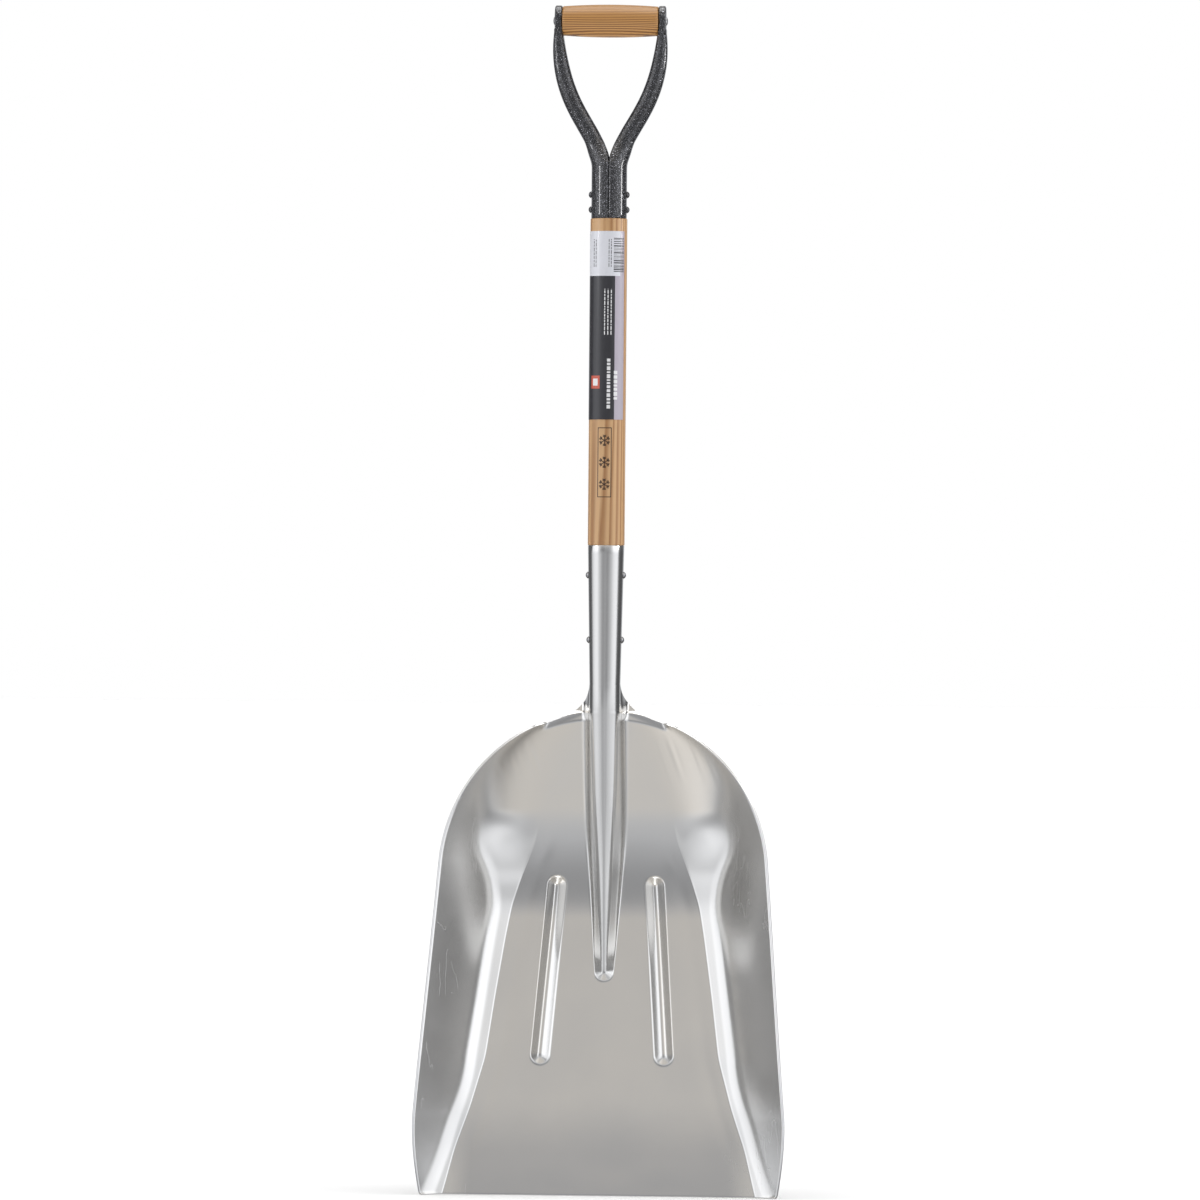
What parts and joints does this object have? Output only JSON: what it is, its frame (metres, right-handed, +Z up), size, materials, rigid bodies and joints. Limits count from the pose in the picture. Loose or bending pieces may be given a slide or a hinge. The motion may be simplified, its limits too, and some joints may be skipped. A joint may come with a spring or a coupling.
{
  "type": "scoop shovel",
  "caption": "Snow and grain scoop shovel: pressed aluminium pan with a rolled socket, ash shaft and a D-shaped steel yoke with a wooden hand grip.",
  "frame": {"origin": "middle of the level digging edge", "axes": "+Z up the shaft, +X to the right, the open side of the pan faces -Y"},
  "size_m": [0.3718, 0.1225, 1.194],
  "materials": {
    "pan_aluminium": "mill-rolled sheet with fine cross brushing, polished along the pressed bends",
    "shaft_ash": "clear-varnished ash with the grain along the shaft",
    "socket_rivet_steel": "plated domed heads",
    "yoke_hammertone": "charcoal hammertone enamel",
    "yoke_rivet_painted": "painted over with the yoke",
    "grip_wood": "varnished, strong brown grain along the grip",
    "rod_steel": "bright peened ends",
    "label_film": "glossy wrap label, black below and white above"
  },
  "bodies": {
    "root": {"blade": "pan_aluminium", "shaft": "shaft_ash", "socket_rivet_upper": "socket_rivet_steel", "socket_rivet_lower": "socket_rivet_steel", "yoke_left": "yoke_hammertone", "yoke_right": "yoke_hammertone", "yoke_rivet_upper": "yoke_rivet_painted", "yoke_rivet_lower": "yoke_rivet_painted", "grip": "grip_wood", "grip_rod": "rod_steel", "label": "label_film"}
  },
  "joints": []
}
